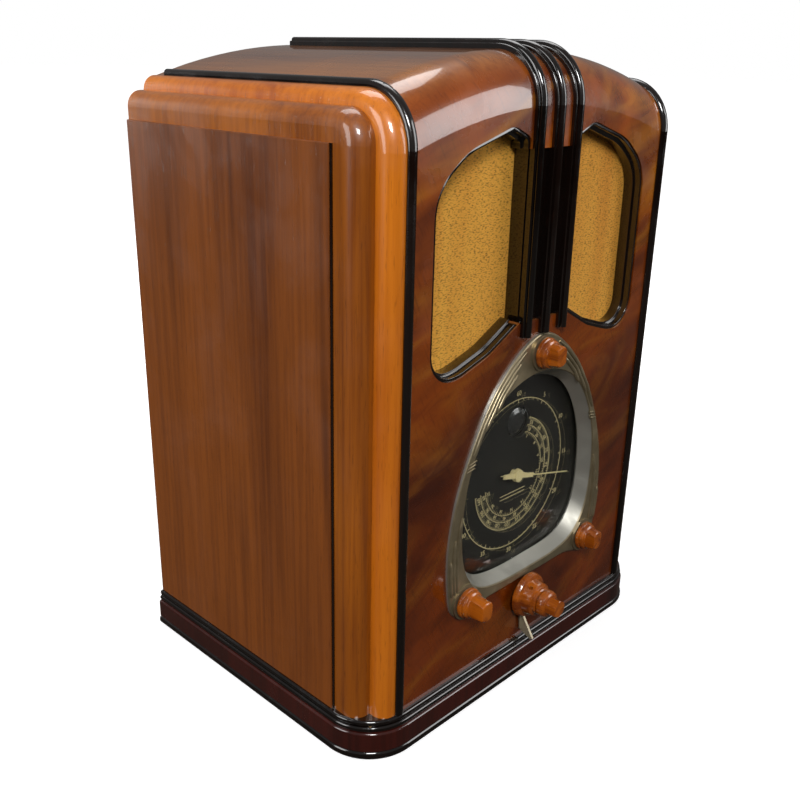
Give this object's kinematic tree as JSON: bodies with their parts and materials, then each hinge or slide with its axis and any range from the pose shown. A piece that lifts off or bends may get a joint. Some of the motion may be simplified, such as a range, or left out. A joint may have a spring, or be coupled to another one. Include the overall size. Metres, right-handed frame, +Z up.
{
  "type": "vintage upright table radio",
  "caption": "Upright 1930s table radio in a stepped walnut cabinet, with a round dial, split speaker grille, tuning drive, valve chassis and speaker",
  "frame": {"origin": "middle of the base's underside, on the surface it stands on", "axes": "+Z up, the front with the dial faces -Y, +X to the right of a person facing the front"},
  "size_m": [0.434, 0.3609, 0.5953],
  "materials": {
    "walnut_front": "high gloss lacquer",
    "walnut_inner_rail": "high gloss lacquer",
    "walnut_outer_rail": "high gloss lacquer",
    "walnut_side": "satin lacquer",
    "ebonised_wood": "gloss black lacquer",
    "mahogany": "gloss lacquer",
    "plain_wood": "raw",
    "knob_wood": "gloss lacquer",
    "grille_cloth": "woven",
    "bronze": "antique",
    "dial_glass": "clear",
    "dial_black": "satin",
    "cream_paint": "satin",
    "tunnel_grey": "satin",
    "bulb_glass": "silvered",
    "steel": "brushed",
    "chassis_steel": "cadmium plated",
    "can_aluminium": "spun",
    "bakelite": "moulded",
    "black_enamel": "semi gloss",
    "speaker_metal": "hammered",
    "cone_paper": "matte",
    "rubber": "matte",
    "card_board": "matte",
    "cord": "waxed"
  },
  "bodies": {
    "cabinet": {"front_and_top_panel": "walnut_front", "inner_shoulders": "walnut_inner_rail", "outer_shoulders": "walnut_outer_rail", "side_panel_left": "walnut_side", "side_panel_right": "walnut_side", "side_inlays": "ebonised_wood", "shoulder_beads": "ebonised_wood", "centre_bars": "ebonised_wood", "grille_mouldings": "ebonised_wood", "grille_post": "ebonised_wood", "grille_cloth": "grille_cloth", "speaker_baffle": "card_board", "floor_board": "plain_wood", "corner_glue_blocks": "plain_wood", "plinth_foot_bead": "ebonised_wood", "plinth_band": "mahogany", "plinth_cap_bead": "ebonised_wood", "dial_escutcheon": "bronze", "dial_tunnel": "tunnel_grey", "dial_glass": "dial_glass", "dial_plate": "dial_black", "tuning_eye_bulb": "bulb_glass", "dial_bracket": "chassis_steel", "dial_lamps": "cream_paint", "dial_cords": "cord", "knob_controls": "bakelite", "band_switch_wafers": "bakelite", "gang_frame": "steel", "gang_stators": "can_aluminium", "chassis_pan": "chassis_steel", "chassis_cushions": "rubber", "chassis_bolts": "steel", "valve_bases": "bakelite", "valve_bulbs": "bulb_glass", "valve_shields": "can_aluminium", "coil_cans": "can_aluminium", "mains_transformer": "black_enamel", "smoothing_capacitors": "can_aluminium", "aerial_terminals": "bakelite", "mains_cord_grommet": "rubber", "speaker_basket": "speaker_metal", "speaker_cone": "cone_paper", "field_coil_pot": "speaker_metal", "output_transformer": "black_enamel", "speaker_bolts": "steel"},
    "volume": {"volume_knob": "knob_wood", "volume_shaft": "steel"},
    "tone": {"tone_knob": "knob_wood", "tone_shaft": "steel"},
    "selectivity": {"selectivity_knob": "knob_wood", "selectivity_shaft": "steel"},
    "coarse_tuning": {"coarse_tuning_knob": "knob_wood", "coarse_tube": "steel"},
    "fine_tuning": {"fine_tuning_knob": "knob_wood", "fine_tuning_shaft": "steel"},
    "band_lever": {"band_lever": "steel"},
    "band_switch": {"band_switch_spindle": "steel"},
    "gang": {"gang_rotor": "can_aluminium"},
    "pointer": {"station_pointer": "cream_paint"},
    "second_hand": {"split_second_hand": "cream_paint"}
  },
  "joints": [
    {"name": "volume_turn", "type": "hinge", "parent": "cabinet", "child": "volume", "pos_m": [-0.092, -0.16, 0.1185], "axis": [0, -1, 0], "range_deg": [-150, 150]},
    {"name": "tone_turn", "type": "hinge", "parent": "cabinet", "child": "tone", "pos_m": [0, -0.16, 0.335], "axis": [0, -1, 0], "range_deg": [-60, 60]},
    {"name": "selectivity_turn", "type": "hinge", "parent": "cabinet", "child": "selectivity", "pos_m": [0.092, -0.16, 0.1185], "axis": [0, -1, 0], "range_deg": [-45, 45]},
    {"name": "band_lever_swing", "type": "hinge", "parent": "cabinet", "child": "band_lever", "pos_m": [0, -0.16, 0.0875], "axis": [0, -1, 0], "range_deg": [-20, 20]},
    {"name": "band_switch_turn", "type": "hinge", "parent": "cabinet", "child": "band_switch", "pos_m": [0, -0.1, 0.0655], "axis": [0, -1, 0], "range_deg": [-30, 30]},
    {"name": "gang_turn", "type": "hinge", "parent": "cabinet", "child": "gang", "pos_m": [0, -0.06, 0.15], "axis": [0, -1, 0], "range_deg": [-88, 88]},
    {"name": "coarse_turn", "type": "hinge", "parent": "cabinet", "child": "coarse_tuning", "pos_m": [0, -0.16, 0.0875], "axis": [0, -1, 0], "range_deg": [-270, 270]},
    {"name": "fine_turn", "type": "hinge", "parent": "cabinet", "child": "fine_tuning", "pos_m": [0, -0.16, 0.0875], "axis": [0, -1, 0], "range_deg": [-1800, 1800]},
    {"name": "pointer_turn", "type": "hinge", "parent": "cabinet", "child": "pointer", "pos_m": [0, -0.138, 0.208], "axis": [0, -1, 0], "range_deg": [-135, 135]},
    {"name": "second_hand_turn", "type": "hinge", "parent": "cabinet", "child": "second_hand", "pos_m": [0, -0.14, 0.208], "axis": [0, -1, 0], "range_deg": [-1800, 1800]}
  ],
  "couplings": [
    {"joint": "band_switch_turn", "follows": "band_lever_swing", "ratio": -1.5},
    {"joint": "coarse_turn", "follows": "gang_turn", "ratio": 3},
    {"joint": "pointer_turn", "follows": "gang_turn", "ratio": 1.5},
    {"joint": "fine_turn", "follows": "gang_turn", "ratio": 20},
    {"joint": "second_hand_turn", "follows": "gang_turn", "ratio": 20}
  ]
}
